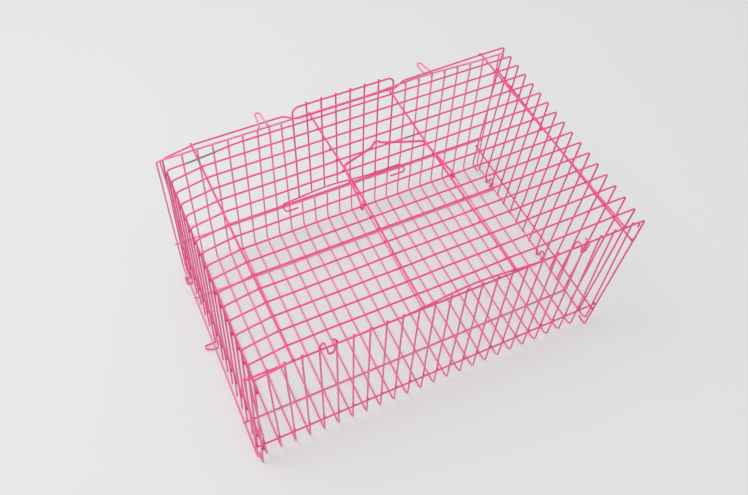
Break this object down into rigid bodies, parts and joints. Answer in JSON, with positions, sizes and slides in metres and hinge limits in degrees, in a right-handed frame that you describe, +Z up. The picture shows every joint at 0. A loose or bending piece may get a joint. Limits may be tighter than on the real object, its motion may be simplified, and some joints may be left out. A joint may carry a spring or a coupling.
{
  "type": "pet cage",
  "caption": "Low portable wire pet cage: a folded base and cover mesh locked by bent tabs, a lifting door of wire in the back and a folding handle on top.",
  "frame": {"origin": "under the middle of the cage's box, on the ground", "axes": "+X along the long side, +Y to the wall with the door, +Z up"},
  "size_m": [0.4498, 0.2982, 0.2231],
  "materials": {
    "base_coating": "gloss",
    "cover_coating": "gloss",
    "door_coating": "gloss",
    "handle_coating": "gloss"
  },
  "bodies": {
    "cage": {"back_edge_rod": "base_coating", "base_wire_01": "base_coating", "base_wire_02": "base_coating", "base_wire_03": "base_coating", "base_wire_04": "base_coating", "base_wire_05": "base_coating", "base_wire_06_07": "base_coating", "base_wire_08_09": "base_coating", "base_wire_10": "base_coating", "base_wire_11": "base_coating", "base_wire_12": "base_coating", "base_wire_13": "base_coating", "base_wire_14": "base_coating", "base_wire_15": "base_coating", "base_wire_16": "base_coating", "base_wire_17": "base_coating", "base_wire_18": "base_coating", "base_wire_19": "base_coating", "base_wire_20_21": "base_coating", "base_wire_22_23": "base_coating", "base_wire_24": "base_coating", "base_wire_25": "base_coating", "base_wire_26": "base_coating", "cover_wire_01": "cover_coating", "cover_wire_02": "cover_coating", "cover_wire_03": "cover_coating", "cover_wire_04": "cover_coating", "cover_wire_05": "cover_coating", "cover_wire_06": "cover_coating", "cover_wire_07_08": "cover_coating", "cover_wire_09_10": "cover_coating", "cover_wire_11": "cover_coating", "cover_wire_12": "cover_coating", "cover_wire_13": "cover_coating", "cover_wire_14": "cover_coating", "cover_wire_15_16_17": "cover_coating", "cover_wire_18": "cover_coating", "door_sill_rod": "base_coating", "floor_back_rod": "base_coating", "floor_front_rod": "base_coating", "front_edge_rod": "base_coating", "front_low_rod": "base_coating", "left_high_rod": "cover_coating", "left_low_rod": "cover_coating", "right_high_rod": "cover_coating", "right_low_rod": "cover_coating", "top_rod_01": "cover_coating", "top_rod_02": "cover_coating", "top_rod_03": "cover_coating", "top_rod_04": "cover_coating"},
    "door": {"door_bar_01": "door_coating", "door_bar_02": "door_coating", "door_bar_03": "door_coating", "door_bar_04": "door_coating", "door_bar_05": "door_coating", "door_bar_06": "door_coating", "door_frame": "door_coating", "door_rail": "door_coating"},
    "handle": {"carry_handle": "handle_coating"}
  },
  "joints": [
    {"name": "door_lift", "type": "slide", "parent": "cage", "child": "door", "axis": [0, 0, 1], "range_m": [0, 0.142]},
    {"name": "handle_swing", "type": "hinge", "parent": "cage", "child": "handle", "pos_m": [0.0196, -0.014, 0.20691], "axis": [1, 0, 0], "range_deg": [0, 120]}
  ]
}
